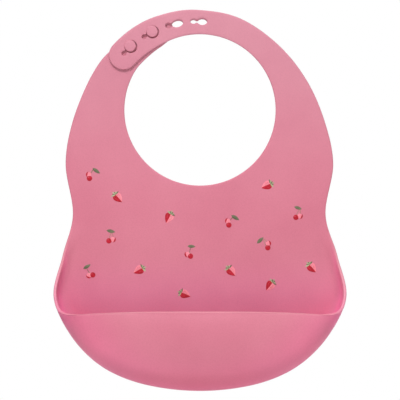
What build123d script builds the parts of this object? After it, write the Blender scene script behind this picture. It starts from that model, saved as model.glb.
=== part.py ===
from build123d import *
import math
import os

os.makedirs("parts", exist_ok=True)

# A soft moulded silicone bib. Millimetres. +X is the viewer's right, +Z is up, the front faces -Y.
# The origin is the centre of the neck opening, on the back face of the sheet.

# Sheet and overall outline (half widths from the centre line, heights from the neck centre)
SHEET = 2.0
NECK_R = 59.3
TOP_Z = 78.8
SHOULDER_W = 104.5
SHOULDER_Z = -42.0
WAIST_W = 98.6
WAIST_Z = -83.0
HIP_W = 113.8
HIP_Z = -146.0
BOTTOM_Z = -219.6

# Crumb pocket
POCKET_DEPTH = 34.0
LIP_Z = -158.0
RIM_H = 19.5
FRONT_R = POCKET_DEPTH * 15 / 34
BACK_R = POCKET_DEPTH * 11 / 34
FRONT_LEAN = POCKET_DEPTH * 6 / 34
CURL_START = 7.0

# Flex lines: the sheet is cut where it bends, and each cut keeps a small gap
FLEX_GAP = 0.3
NECK_FOLD_Z = 8.0
WAIST_FOLD_Z = -93.4
STRAP_BENDS = (45.0, 76.0, 113.0)
BUTTON_BEND = 155.0

# Keyhole strap: its tab follows an arc of its own, a little outside the neck opening
TAB_CX = -2.7
TAB_CZ = -9.1
TAB_R = 77.4
TAB_HALF = 11.4
TAB_END = 137.8
STRAP_T = 2.1
STRAP_GAP = 0.3
RAMP_FROM_X = 34.0
RAMP_TO_X = -14.0

# Keyholes and studs
KEY_R = 78.5
KEY_FIRST = 131.3
KEY_PITCH = 15.0
KEY_CLEAR = 0.7
KEY_FREE_R = 4.6
KEY_SLOT_R = 1.9
KEY_SLOT_DIST = 7.4
KEY_NECK_W = 2.6
STUD_HEAD_R = 4.5
STUD_STEM_R = 2.5
STUD_PROUD = 0.5
KEY_ROUND_R = STUD_HEAD_R + KEY_CLEAR

# Button strap
BUTTON_END = 116.0

# Printed fruit: a thin film of ink
INK = 0.08
CHERRY_R = 2.1
BERRY_L = 7.6
BERRY_W = 6.0

MID_Y = -SHEET / 2
HINGE_R = SHEET / 2
BIG = 600.0


def polar(r, deg, cx=0.0, cz=0.0):
    a = math.radians(deg)
    return (cx + r * math.cos(a), cz + r * math.sin(a))


def below_hip(share):
    return HIP_Z + share * (BOTTOM_Z - HIP_Z)


def bib_outline():
    right = [
        (0, TOP_Z),
        (0.29 * SHOULDER_W, 0.918 * TOP_Z),
        (0.593 * SHOULDER_W, 0.642 * TOP_Z),
        (0.813 * SHOULDER_W, 0.28 * TOP_Z),
        (0.949 * SHOULDER_W, 0.26 * SHOULDER_Z),
        (SHOULDER_W, SHOULDER_Z),
        (WAIST_W, WAIST_Z),
        (0.948 * HIP_W, 0.5 * (WAIST_Z + HIP_Z)),
        (HIP_W, HIP_Z),
        (0.889 * HIP_W, below_hip(0.4033)),
        (0.689 * HIP_W, below_hip(0.7255)),
        (0.427 * HIP_W, below_hip(0.9165)),
        (0, BOTTOM_Z),
    ]
    left = [(-x, z) for x, z in right[1:-1]]
    return Spline(*right, *reversed(left), periodic=True)


def rect(x0, x1, z0, z1):
    return Pos((x0 + x1) / 2, (z0 + z1) / 2) * Rectangle(x1 - x0, z1 - z0)


def stand_up(sketch, y_back, depth):
    """Raise a front-view sketch into a slab whose back is at y_back and which grows towards the viewer."""
    return Pos(0, y_back, 0) * extrude(Plane.XZ * sketch, amount=depth)


def half_plane(deg, gap):
    """The side of a radial line that lies anticlockwise of it, kept gap away from the line."""
    return Rot(0, 0, deg) * Pos(0, gap + BIG / 2) * Rectangle(2 * BIG, BIG)


def radial_pin(deg, r0, r1, y_mid, radius):
    """A round end for a flexing piece: a cylinder lying along a radial line."""
    rod = extrude(Plane.YZ * Circle(radius), amount=r1 - r0)
    return Pos(0, y_mid, 0) * Rot(0, -deg, 0) * Pos(r0, 0, 0) * rod


def level_pin(z, x0, x1, y_mid, radius):
    return Pos(x0, y_mid, z) * extrude(Plane.YZ * Circle(radius), amount=x1 - x0)


def save(shape, name):
    export_step(shape, "parts/" + name + ".step")
    box = shape.bounding_box()
    print(name, round(shape.volume, 1), box.min, box.max, len(shape.solids()))


rim = bib_outline()
outline = make_face(rim)
neck = Circle(NECK_R)
body2d = outline - neck
step = HINGE_R + FLEX_GAP

# Upper panel: from the neck fold down to the waist fold
upper2d = body2d & rect(-BIG, BIG, WAIST_FOLD_Z + step, NECK_FOLD_Z - step)
upper_panel = stand_up(upper2d, 0, SHEET)
save(upper_panel, "upper_panel")

# Shoulders of the neck band, each ending in a round edge on the neck fold line
ring2d = body2d & rect(-BIG, BIG, NECK_FOLD_Z, BIG)
edge_x = [p.X for p in (outline & Pos(0, NECK_FOLD_Z) * Rectangle(BIG, 0.02)).vertices()]
fold_out = max(edge_x)
fold_in = math.sqrt(NECK_R**2 - NECK_FOLD_Z**2)
right2d = (ring2d & rect(0, BIG, 0, BIG)) - half_plane(STRAP_BENDS[0], -step)
shoulder_right = stand_up(right2d, 0, SHEET)
shoulder_right += level_pin(NECK_FOLD_Z, fold_in, fold_out, MID_Y, HINGE_R)
left2d = (ring2d & rect(-BIG, 0, 0, BIG)) & half_plane(BUTTON_BEND, step)
shoulder_left = stand_up(left2d, 0, SHEET)
shoulder_left += level_pin(NECK_FOLD_Z, -fold_out, -fold_in, MID_Y, HINGE_R)
save(shoulder_right, "shoulder_right")
save(shoulder_left, "shoulder_left")

# Button strap: it lies behind the keyhole strap and carries the two studs


def ring_outer(deg):
    """Distance from the neck centre to the outline along a radial line."""
    ray = Rot(0, 0, deg) * Pos(BIG / 4, 0) * Rectangle(BIG / 2, 0.02)
    return max(math.hypot(v.X, v.Y) for v in (outline & ray).vertices())


button_mid = (NECK_R + ring_outer(BUTTON_END)) / 2
button_half = (ring_outer(BUTTON_END) - NECK_R) / 2
button2d = ring2d & half_plane(BUTTON_END, 0)
button2d = button2d - half_plane(BUTTON_BEND, 0)
button2d = button2d + Pos(*polar(button_mid, BUTTON_END)) * Circle(button_half)
button_strap = stand_up(button2d, 0, SHEET)
bend_out = ring_outer(BUTTON_BEND)
button_strap += radial_pin(BUTTON_BEND, NECK_R, bend_out, MID_Y, HINGE_R)
save(button_strap, "button_strap")

# Keyhole strap, drawn as one piece and then cut at its bends
n_end = polar(1.0, TAB_END)
k = polar(TAB_R, TAB_END, TAB_CX, TAB_CZ)
tip = polar(TAB_HALF, TAB_END + 90, k[0], k[1])
cap_out = (k[0] + TAB_HALF * n_end[0], k[1] + TAB_HALF * n_end[1])
cap_in = (k[0] - TAB_HALF * n_end[0], k[1] - TAB_HALF * n_end[1])
start_out = polar(ring_outer(STRAP_BENDS[0]), STRAP_BENDS[0])
start_in = polar(NECK_R, STRAP_BENDS[0])
top_mid = (0, TOP_Z + 0.3)
leave = polar(NECK_R, 112.0)
over = polar(TAB_R + TAB_HALF, 108.0, TAB_CX, TAB_CZ)
outer_edge = Spline(
    start_out,
    polar(ring_outer(70), 70),
    top_mid,
    over,
    cap_out,
    tangents=[(-0.76, 0.65), (-n_end[1], n_end[0])],
)
cap_edge = ThreePointArc(cap_out, tip, cap_in)
inner_run = Spline(cap_in, leave, tangents=[(n_end[1], -n_end[0]), polar(1, 22.0)])
neck_run = ThreePointArc(leave, polar(NECK_R, 80.0), start_in)
close_run = Line(start_in, start_out)
strap2d = make_face([outer_edge, cap_edge, inner_run, neck_run, close_run])

# The strap rises from the sheet's level to lie on top of the button strap
y_low = 0.0
y_high = -(SHEET + STRAP_GAP)
back = Spline((RAMP_FROM_X, y_low), (RAMP_TO_X, y_high), tangents=[(-1, 0), (-1, 0)])
low_in = Line((BIG / 4, y_low), (RAMP_FROM_X, y_low))
high_out = Line((RAMP_TO_X, y_high), (-BIG / 4, y_high))
back_line = low_in + back + high_out
front_line = Pos(0, -STRAP_T) * back_line
left_end = Line((-BIG / 4, y_high), (-BIG / 4, y_high - STRAP_T))
right_end = Line((BIG / 4, y_low - STRAP_T), (BIG / 4, y_low))
ribbon = extrude(make_face(back_line.edges() + front_line.edges() + [left_end, right_end]), amount=BIG / 2)


def keyhole(deg, round_r):
    centre = polar(KEY_R, deg, TAB_CX, TAB_CZ)
    end = polar(KEY_R, deg + math.degrees(KEY_SLOT_DIST / KEY_R), TAB_CX, TAB_CZ)
    mid = ((centre[0] + end[0]) / 2, (centre[1] + end[1]) / 2)
    turn = math.degrees(math.atan2(end[1] - centre[1], end[0] - centre[0]))
    hole = Pos(*centre) * Circle(round_r)
    hole = hole + Pos(*end) * Circle(KEY_SLOT_R)
    hole = hole + Pos(*mid) * Rot(0, 0, turn) * Rectangle(KEY_SLOT_DIST, KEY_NECK_W)
    return hole


key_angles = [KEY_FIRST - i * KEY_PITCH for i in range(4)]
key_radii = [KEY_ROUND_R, KEY_ROUND_R, KEY_FREE_R, KEY_FREE_R]
for deg, radius in zip(key_angles, key_radii):
    strap2d = strap2d - keyhole(deg, radius)

strap = stand_up(strap2d, 20, 40) & ribbon
pieces = ["strap_root", "strap_middle", "strap_tab"]


def ribbon_mid(deg):
    """Height of the strap's middle layer where a radial bend line crosses the strap."""
    x = NECK_R * 1.16 * math.cos(math.radians(deg))
    s = (RAMP_FROM_X - x) / (RAMP_FROM_X - RAMP_TO_X)
    s = min(1.0, max(0.0, s))
    return (y_high - y_low) * s * s * (3 - 2 * s) - STRAP_T / 2


bend_mids = []
for i, name in enumerate(pieces):
    deg = STRAP_BENDS[i]
    y_mid = ribbon_mid(deg)
    cut = strap & stand_up(half_plane(deg, 0), 20, 40)
    if i < 2:
        nxt = STRAP_BENDS[i + 1]
        cut = cut - stand_up(half_plane(nxt, -step), 20, 40)
    reach = ring_outer(deg) if i < 2 else math.dist(polar(NECK_R, 0), (0, 0)) + 24.0
    rod = radial_pin(deg, NECK_R - 4, reach + 4, y_mid, STRAP_T / 2)
    trim = stand_up(make_face([outer_edge, cap_edge, inner_run, neck_run, close_run]), 20, 40)
    near = stand_up(half_plane(deg, -2) - half_plane(deg, 2), 20, 40)
    if i == 0:
        wide = stand_up(body2d & half_plane(deg, -3), 20, 40)
        rod = rod & wide
    else:
        rod = rod & trim
    cut = cut + (rod & near)
    bend_mids.append(round(y_mid, 3))
    save(cut, name)
print("bend mids", bend_mids)

# Studs: a short stem with a domed disc head that fills the round end of a keyhole
head_top = -(SHEET + STRAP_GAP + STRAP_T + STUD_PROUD)
head_under = -(SHEET + STRAP_GAP + 0.5)
stem = stand_up(Circle(STUD_STEM_R), -SHEET, -SHEET - head_under + 0.2)
head = stand_up(Circle(STUD_HEAD_R), head_under, head_under - head_top)
head = fillet(head.edges().sort_by(Axis.Y)[0], 0.7)
stud = stem + head
for i, name in enumerate(["stud_lower", "stud_upper"]):
    x, z = polar(KEY_R + 0.3, key_angles[i], TAB_CX, TAB_CZ)
    save(Pos(x, 0, z) * stud, name)

# Lower panel: flat in the middle, its side edges curling forward into the pocket's side walls


def half_width(z):
    cut = outline & Pos(BIG / 4, z) * Rectangle(BIG / 2, 0.02)
    return max(v.X for v in cut.vertices())


def curl_section(z, radius, height):
    w = half_width(z)
    c = w - radius
    t = SHEET
    s = math.sqrt(0.5)
    runs = [
        Line((c - 9, 0), (c, 0)),
        ThreePointArc((c, 0), (c + radius * s, -radius + radius * s), (w, -radius)),
        Line((w, -radius), (w, -height)),
        Line((w, -height), (w - t, -height)),
        Line((w - t, -height), (w - t, -radius)),
        ThreePointArc((w - t, -radius), (c + (radius - t) * s, -radius + (radius - t) * s), (c, -t)),
        Line((c, -t), (c - 9, -t)),
        Line((c - 9, -t), (c - 9, 0)),
    ]
    return Pos(0, 0, z) * make_face(runs)


fold_end = WAIST_FOLD_Z
mix = [0.0, 0.33, 0.67, 1.0]
curl_top = fold_end - CURL_START
curl_z = [curl_top + (HIP_Z - 2 - curl_top) * m for m in mix]
curl_r = [2.6 + (BACK_R - 2.6) * m for m in mix]
curl_h = [3.0 + (RIM_H - 3.0) * m**1.5 for m in mix]
sections = [curl_section(z, r, h) for z, r, h in zip(curl_z, curl_r, curl_h)]
curl = loft(sections)
inner_pts = [(half_width(z) - r - 4, z) for z, r in zip(curl_z, curl_r)]
side_line = Polyline(*inner_pts)
flat2d = make_face(
    side_line
    + Line(inner_pts[-1], (-inner_pts[-1][0], inner_pts[-1][1]))
    + mirror(side_line, Plane.YZ)
    + Line((-inner_pts[0][0], inner_pts[0][1]), inner_pts[0])
)
head2d = outline & rect(-BIG, BIG, curl_top, fold_end)
lower_panel = stand_up(flat2d + head2d, 0, SHEET) + curl + mirror(curl, Plane.YZ)
w_fold = half_width(fold_end)
lower_panel += level_pin(fold_end, -w_fold, w_fold, MID_Y, HINGE_R)
save(lower_panel, "lower_panel")

# Crumb pocket: a shell that wraps forward and up to the lip
pocket_top = curl_z[-1]


def front_y(z, inward):
    """The front wall leans back a little towards the bottom of the pocket."""
    return inward - POCKET_DEPTH + FRONT_LEAN * (LIP_Z - z) / (LIP_Z - BOTTOM_Z)


def bag(sketch, inward, back_r, front_r):
    """A block in the pocket's outline with its back and front edges rounded."""
    block = stand_up(sketch, -inward, POCKET_DEPTH + 10)
    z_hi = pocket_top + 10
    z_lo = BOTTOM_Z - 10
    keep = Polyline(
        (1, z_hi),
        (front_y(z_hi, inward), z_hi),
        (front_y(z_lo, inward), z_lo),
        (1, z_lo),
        (1, z_hi),
    )
    block = block & (Pos(-BIG / 2, 0, 0) * extrude(Plane.YZ * make_face(keep), amount=BIG))

    def on_back(e):
        return abs(e.bounding_box().min.Y + inward) < 0.01

    def on_front(e):
        ends = [e.position_at(t) for t in (0.0, 0.25, 0.5, 1.0)]
        return all(abs(p.Y - front_y(p.Z, inward)) < 0.01 for p in ends)

    block = fillet([e for e in block.edges() if on_back(e) and e.center().Z < pocket_top - 1], back_r)
    return fillet([e for e in block.edges() if on_front(e) and e.center().Z < pocket_top - 1], front_r)


def inset(curve, amount, points=48):
    """The same clockwise outline moved inward by a wall's thickness."""
    moved = []
    for i in range(points):
        p = curve.position_at(i / points)
        t = curve.tangent_at(i / points)
        moved.append((p.X + amount * t.Y, p.Y - amount * t.X))
    return make_face(Spline(*moved, periodic=True))


bag2d = outline & rect(-BIG, BIG, -BIG, pocket_top)
inner2d = inset(rim, SHEET) & rect(-BIG, BIG, -BIG, pocket_top + 4)
bag_out = bag(bag2d, 0, BACK_R, FRONT_R)
bag_in = bag(inner2d, SHEET, BACK_R - SHEET, FRONT_R - SHEET)
shell = bag_out - bag_in

# The lip runs down from the side rims, turns with the front corners and crosses the front level
lip_curve = Spline(
    (-RIM_H, pocket_top),
    (-RIM_H - 0.6 * FRONT_R, LIP_Z + 2.4),
    (-POCKET_DEPTH - 2, LIP_Z),
    tangents=[(-0.6, -1), (-1, -0.05)],
)
lip_box = Polyline(
    (-POCKET_DEPTH - 2, LIP_Z),
    (-POCKET_DEPTH - 40, LIP_Z),
    (-POCKET_DEPTH - 40, pocket_top + 5),
    (-RIM_H, pocket_top + 5),
    (-RIM_H, pocket_top),
)
lip_face = make_face(lip_curve.edges() + lip_box.edges())
lip_cut = Pos(-BIG / 2, 0, 0) * extrude(Plane.YZ * lip_face, amount=BIG)
crumb_pocket = shell - lip_cut
save(crumb_pocket, "crumb_pocket")

# Printed fruit. Each motif sits at (x, z) and is turned by an angle; lower ones are on the lower panel


def leaf(length, width):
    a = ThreePointArc((0, 0), (length / 2, width / 2), (length, 0))
    b = ThreePointArc((length, 0), (length / 2, -width / 2), (0, 0))
    return make_face([a, b])


def cherry(x, z, turn):
    """Two round fruits hanging from a pair of stalks under one leaf."""
    shape = Pos(-2.4, -3.4) * Circle(CHERRY_R) + Pos(1.6, -2.9) * Circle(CHERRY_R)
    shape = shape + Pos(-0.9, 0.6) * Rot(0, 0, 75) * Rectangle(4.4, 0.5)
    shape = shape + Pos(1.2, 0.9) * Rot(0, 0, 103) * Rectangle(4.4, 0.5)
    shape = shape + Pos(-3.6, 3.1) * leaf(5.2, 2.0)
    return Pos(x, z) * Rot(0, 0, turn) * shape


def berry(x, z, turn):
    """A pointed fruit with a crown of three leaves; turn points its tip away from straight down."""
    half = Spline(
        (0, 0.36 * BERRY_L),
        (0.5 * BERRY_W, 0.12 * BERRY_L),
        (0, -0.6 * BERRY_L),
        tangents=[(1, 0.1), (-0.8, -0.6)],
    )
    shape = make_face(half + mirror(half, Plane.YZ))
    for side in (-55, 0, 55):
        shape = shape + Pos(0, 0.3 * BERRY_L) * Rot(0, 0, 90 + side) * leaf(2.8, 1.3)
    return Pos(x, z) * Rot(0, 0, turn) * shape


def film(motifs, name):
    save(Compound(children=[stand_up(m, -SHEET, INK) for m in motifs]), name)


film([cherry(-86.3, -51.0, -42), cherry(24.3, -86.2, -38), cherry(76.9, -79.8, 2)], "cherry_print_upper")
film([berry(-65.3, -68.3, 32), berry(-24.0, -83.2, -38), berry(53.4, -58.9, -40)], "berry_print_upper")
low_cherries = [cherry(-69.9, -99.9, 4), cherry(-86.4, -126.4, 30), cherry(-7.9, -112.3, 8)]
film(low_cherries + [cherry(51.0, -105.2, 38)], "cherry_print_lower")
low_berries = [berry(-47.3, -125.1, -52), berry(-12.8, -144.4, 52), berry(23.6, -126.4, 40)]
film(low_berries + [berry(55.0, -137.1, -25), berry(87.1, -123.2, 40)], "berry_print_lower")
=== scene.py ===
import math

import bmesh
import bpy
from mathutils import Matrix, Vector
from mathutils.geometry import delaunay_2d_cdt
from mathutils.kdtree import KDTree


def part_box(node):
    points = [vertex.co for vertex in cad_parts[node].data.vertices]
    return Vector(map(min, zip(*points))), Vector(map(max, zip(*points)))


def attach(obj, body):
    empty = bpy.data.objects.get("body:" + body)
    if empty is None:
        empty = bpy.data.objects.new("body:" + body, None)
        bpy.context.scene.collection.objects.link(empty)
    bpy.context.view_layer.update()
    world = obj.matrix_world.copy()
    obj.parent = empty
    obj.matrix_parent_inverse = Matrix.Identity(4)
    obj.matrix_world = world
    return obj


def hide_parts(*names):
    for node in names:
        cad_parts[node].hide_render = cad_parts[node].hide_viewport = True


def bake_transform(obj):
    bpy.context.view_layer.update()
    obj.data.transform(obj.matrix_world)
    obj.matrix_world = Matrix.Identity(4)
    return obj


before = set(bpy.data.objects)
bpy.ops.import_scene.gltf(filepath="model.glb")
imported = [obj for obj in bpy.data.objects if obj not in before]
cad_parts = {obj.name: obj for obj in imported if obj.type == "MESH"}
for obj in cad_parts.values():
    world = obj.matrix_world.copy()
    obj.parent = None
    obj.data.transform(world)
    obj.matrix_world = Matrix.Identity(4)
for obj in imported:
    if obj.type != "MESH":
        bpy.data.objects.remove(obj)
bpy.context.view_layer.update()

MM = 0.001
SHEET = 2.0 * MM  # thickness of the sheet

# Landmarks of the moulding, in metres, read off the CAD nodes where they have one
pocket_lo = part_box("crumb_pocket")[0]
BOTTOM_Z = pocket_lo.z
DEPTH = -pocket_lo.y
SHOULDER_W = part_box("upper_panel")[1].x
HIP_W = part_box("lower_panel")[1].x
TOP_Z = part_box("strap_middle")[1].z - 0.3 * MM
NECK_R = 59.3 * MM
CUT_Z = -66.0 * MM  # height of the seam between the upper and the lower skin


def smooth(t):
    t = min(1.0, max(0.0, t))
    return t * t * (3 - 2 * t)


def polar(r, deg, cx=0.0, cz=0.0):
    a = math.radians(deg)
    return (cx + r * math.cos(a), cz + r * math.sin(a))


def spread(a, b, n):
    """n + 1 even steps from a to b."""
    return [a + (b - a) * i / n for i in range(n + 1)]


def closed_curve(points, per_span=24):
    """A closed centripetal Catmull-Rom curve through the points."""
    out = []
    n = len(points)
    for i in range(n):
        p0, p1, p2, p3 = (Vector(points[(i + k - 1) % n]) for k in range(4))
        t0 = 0.0
        t1 = t0 + max(1e-9, (p1 - p0).length) ** 0.5
        t2 = t1 + max(1e-9, (p2 - p1).length) ** 0.5
        t3 = t2 + max(1e-9, (p3 - p2).length) ** 0.5
        for s in range(per_span):
            t = t1 + (t2 - t1) * s / per_span
            a1 = p0 * ((t1 - t) / (t1 - t0)) + p1 * ((t - t0) / (t1 - t0))
            a2 = p1 * ((t2 - t) / (t2 - t1)) + p2 * ((t - t1) / (t2 - t1))
            a3 = p2 * ((t3 - t) / (t3 - t2)) + p3 * ((t - t2) / (t3 - t2))
            b1 = a1 * ((t2 - t) / (t2 - t0)) + a2 * ((t - t0) / (t2 - t0))
            b2 = a2 * ((t3 - t) / (t3 - t1)) + a3 * ((t - t1) / (t3 - t1))
            out.append(b1 * ((t2 - t) / (t2 - t1)) + b2 * ((t - t1) / (t2 - t1)))
    return out


def outline_points():
    """The bib's outline from the top of the neck band, clockwise seen from the front."""
    top = TOP_Z - 1.0 * MM
    right = [
        (0.29 * SHOULDER_W, 0.918 * TOP_Z),
        (0.593 * SHOULDER_W, 0.642 * TOP_Z),
        (0.808 * SHOULDER_W, 0.28 * TOP_Z),
        (0.942 * SHOULDER_W, -10.9 * MM),
        (SHOULDER_W, -42 * MM),
        (0.943 * SHOULDER_W, -83 * MM),
        (0.948 * HIP_W, -114.5 * MM),
        (HIP_W, -146 * MM),
        (0.882 * HIP_W, 0.8 * BOTTOM_Z),
        (0.678 * HIP_W, 0.908 * BOTTOM_Z),
        (0.412 * HIP_W, 0.972 * BOTTOM_Z),
    ]
    # the fastened strap pulls the left side outward, most of all just below the tab (in mm)
    pull = [0.0, 0.5, 3.2, 2.0, 0.9, 1.2, 0.0, 0.0, 0.5, 0.9, 0.4]
    left = [(-x - p * MM, z) for (x, z), p in zip(right, pull)]
    # the shoulder just below the tab takes three points of its own instead of one
    left[1:2] = [(-64.3 * MM, 51.4 * MM), (-70.4 * MM, 46.4 * MM), (-77.3 * MM, 39.2 * MM)]
    return closed_curve([(0, top)] + right + [(0, BOTTOM_Z)] + left[::-1])


OUTLINE = outline_points()


def outline_reach(deg, cz=0.0):
    """Distance to the outline in a direction, from the neck's centre or from (0, cz)."""
    a = math.radians(deg)
    dx, dz = math.cos(a), math.sin(a)
    best = 0.0
    n = len(OUTLINE)
    for i in range(n):
        ax, az = OUTLINE[i].x, OUTLINE[i].y - cz
        bx, bz = OUTLINE[(i + 1) % n].x, OUTLINE[(i + 1) % n].y - cz
        ca = ax * dz - az * dx
        cb = bx * dz - bz * dx
        if (ca > 0) == (cb > 0):
            continue
        s = ca / (ca - cb)
        best = max(best, (ax + (bx - ax) * s) * dx + (az + (bz - az) * s) * dz)
    return best


def mesh_object(name, verts, faces, smooth_angle=40.0):
    """A closed mesh with its faces turned outward, smooth but for edges sharper than the angle."""
    mesh = bpy.data.meshes.new(name)
    mesh.from_pydata([tuple(v) for v in verts], [], faces)
    bm = bmesh.new()
    bm.from_mesh(mesh)
    bmesh.ops.remove_doubles(bm, verts=bm.verts, dist=1e-7)
    bmesh.ops.recalc_face_normals(bm, faces=bm.faces)
    bm.to_mesh(mesh)
    bm.free()
    for p in mesh.polygons:
        p.use_smooth = True
    mesh.set_sharp_from_angle(angle=math.radians(smooth_angle))
    obj = bpy.data.objects.new(name, mesh)
    bpy.context.scene.collection.objects.link(obj)
    return obj


def inside(loop, x, z):
    """Whether a point lies inside a loop."""
    hit = False
    n = len(loop)
    for i in range(n):
        ax, az = loop[i]
        bx, bz = loop[(i + 1) % n]
        if (az > z) != (bz > z) and x < (bx - ax) * (z - az) / (bz - az) + ax:
            hit = not hit
    return hit


def gap_to(loops, x, z):
    """Distance to the nearest point of the loops."""
    best = 1e9
    for loop in loops:
        for px, pz in loop:
            d = (px - x) ** 2 + (pz - z) ** 2
            if d < best:
                best = d
    return math.sqrt(best)


EDGE_R = 0.8 * MM  # bevel along a sheet's outer edge
HOLE_EDGE_R = 0.35 * MM  # bevel round a hole
BEVEL_STEPS = 4
ON_LINE = 0.02 * MM  # a point this near a cap line lies on it
SAME_POINT = 0.05 * MM  # two points of a run this near each other are one
DROP_FADE = 2.0 * MM  # how far from a hole the drop of its back rim is felt
CLEAR_OF_EDGE = 0.55  # how near an edge a grid point may lie, and the rows' pitch, in grid steps
ROW_PITCH = 0.87
SLIVER = 1e-11  # triangles smaller than this, in square metres, are left out


def bevel(edge, half):
    """The edge in section, front to back: distance inward, and offset from the sheet's middle."""
    rings = []
    for k in range(BEVEL_STEPS + 1):
        a = math.pi / 2 * (1 - k / BEVEL_STEPS)
        rings.append((edge * (1 - math.cos(a)), half - edge * (1 - math.sin(a))))
    return rings + [(d, -h) for d, h in reversed(rings)]


def inward_steps(loop, cap_lines):
    """The step inward at each point of a loop: none along a cap line, so that the edge stays
    square there, and along the line at its two ends."""

    def line_of(p):
        for number, (q, d) in enumerate(cap_lines):
            if abs((p[0] - q[0]) * d[1] - (p[1] - q[1]) * d[0]) < ON_LINE:
                return number
        return None

    on = [line_of(p) for p in loop]
    steps = []
    for i in range(len(loop)):
        after = (i + 1) % len(loop)
        p, a, b = Vector(loop[i]), Vector(loop[i - 1]), Vector(loop[after])
        same_a = on[i] is not None and on[i - 1] == on[i]
        same_b = on[i] is not None and on[after] == on[i]
        if same_a and same_b:
            steps.append(Vector((0, 0)))
        elif same_a or same_b:
            steps.append(((a if same_a else b) - p).normalized())
        else:
            t = (b - a).normalized()
            steps.append(Vector((-t.y, t.x)))
    return steps


def filled(flat, grid):
    """Points and triangles that fill the first loop around the others."""

    def within(x, z):
        return inside(flat[0], x, z) and not any(inside(hole, x, z) for hole in flat[1:])

    xs = [p[0] for p in flat[0]]
    zs = [p[1] for p in flat[0]]
    coords, edges = [], []
    for loop in flat:
        base = len(coords)
        coords += [Vector(p) for p in loop]
        edges += [(base + i, base + (i + 1) % len(loop)) for i in range(len(loop))]
    row, z = 0, min(zs) + grid / 2
    while z < max(zs):
        x = min(xs) + (grid / 2 if row % 2 else 0)
        while x < max(xs):
            if within(x, z) and gap_to(flat, x, z) > CLEAR_OF_EDGE * grid:
                coords.append(Vector((x, z)))
            x += grid
        z += ROW_PITCH * grid
        row += 1
    tri = delaunay_2d_cdt(coords, edges, [], 0, 1e-9)
    points = [(p.x, p.y) for p in tri[0]]
    faces = []
    for f in tri[2]:
        cx = sum(points[i][0] for i in f) / len(f)
        cz = sum(points[i][1] for i in f) / len(f)
        a, b, c = (points[i] for i in f[:3])
        area = abs((b[0] - a[0]) * (c[1] - a[1]) - (c[0] - a[0]) * (b[1] - a[1])) / 2
        if area > SLIVER and within(cx, cz):
            faces.append(tuple(f))
    return points, faces


def plate(name, loops, mid=None, grid=3.0 * MM, cap_lines=(), drops=None):
    """A flat soft piece with rounded edges. loops: the outer loop, then the holes. mid: where the
    middle of the sheet lies in Y, by X and Z. A cap line is a (point, direction) along which the
    piece meets its neighbour. drops: how far each loop's back rim sits below its front rim."""
    half = SHEET / 2
    y_of = mid or (lambda x, z: -half)
    drops = drops or [0.0] * len(loops)
    sections = [bevel(HOLE_EDGE_R if number else EDGE_R, half) for number in range(len(loops))]
    rings = []
    for number, loop in enumerate(loops):
        area = sum(p[0] * q[1] - q[0] * p[1] for p, q in zip(loop, loop[1:] + loop[:1]))
        if (area < 0) == (number == 0):
            loop = loop[::-1]
        steps = inward_steps(loop, cap_lines)
        own = []
        for d, _ in sections[number]:
            own.append([(p[0] + v.x * d, p[1] + v.y * d) for p, v in zip(loop, steps)])
        rings.append(own)
    flat = [own[0] for own in rings]
    points, faces = filled(flat, grid)
    verts = [(x, y_of(x, z) - half, z) for x, z in points]
    for x, z in points:
        fall = 0.0
        for loop, drop in zip(flat, drops):
            if drop:
                fall += drop * (1 - smooth(gap_to([loop], x, z) / DROP_FADE))
        verts.append((x, y_of(x, z) + half, z - fall))
    faces += [tuple(i + len(points) for i in reversed(f)) for f in faces]
    for own, section, drop in zip(rings, sections, drops):
        for k, (ring, (_, h)) in enumerate(zip(own, section)):
            base, n = len(verts), len(ring)
            fall = drop * (0.5 - h / (2 * half))
            verts += [(x, y_of(x, z) - h, z - fall) for x, z in ring]
            if k:
                for i in range(n):
                    j = (i + 1) % n
                    faces.append((base - n + i, base - n + j, base + j, base + i))
    # the first and the last ring repeat the flat loops' own points: merging them closes the mesh
    return mesh_object(name, verts, faces)


def arc_points(cx, cz, r, a0, a1, step=1.2 * MM):
    n = max(2, round(abs(math.radians(a1 - a0)) * r / step))
    return [polar(r, a, cx, cz) for a in spread(a0, a1, n)]


def edge_run(a0, a1, n, reach=outline_reach):
    """Points of an outer edge between two directions seen from the neck's centre."""
    return [polar(reach(a), a) for a in spread(a0, a1, n)]


def segment(p, q, step=1.5 * MM):
    n = max(1, round(math.dist(p, q) / step))
    return [(p[0] + (q[0] - p[0]) * i / n, p[1] + (q[1] - p[1]) * i / n) for i in range(n + 1)]


def radial_cut(deg, reach, inward=False):
    """The straight cut across the neck band in a direction; reach gives its outer end."""
    ends = polar(NECK_R, deg), polar(reach(deg), deg)
    return segment(*(ends[::-1] if inward else ends))


def joined(*runs):
    """One loop of all the runs, with the points that repeat taken out."""
    out = []
    for run in runs:
        for p in run:
            if not out or math.dist(out[-1], p) > SAME_POINT:
                out.append(tuple(p))
    if math.dist(out[0], out[-1]) < SAME_POINT:
        out.pop()
    return out


def radial(deg):
    """The cap line in a direction from the neck's centre."""
    return ((0.0, 0.0), polar(1.0, deg))


# ---------------------------------------------------------------- upper panel with both shoulders
RIGHT_CUT = 20.0  # directions of the seams with the two straps
LEFT_CUT = 163.0


def side_at_cut(side):
    """X where the outline crosses the seam at CUT_Z, on the right (1) or the left (-1)."""
    for a, b in zip(OUTLINE, OUTLINE[1:] + OUTLINE[:1]):
        if a.x * side > 0 and (a.y - CUT_Z) * (b.y - CUT_Z) <= 0 and a.y != b.y:
            return a.x + (b.x - a.x) * (CUT_Z - a.y) / (b.y - a.y)


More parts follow.
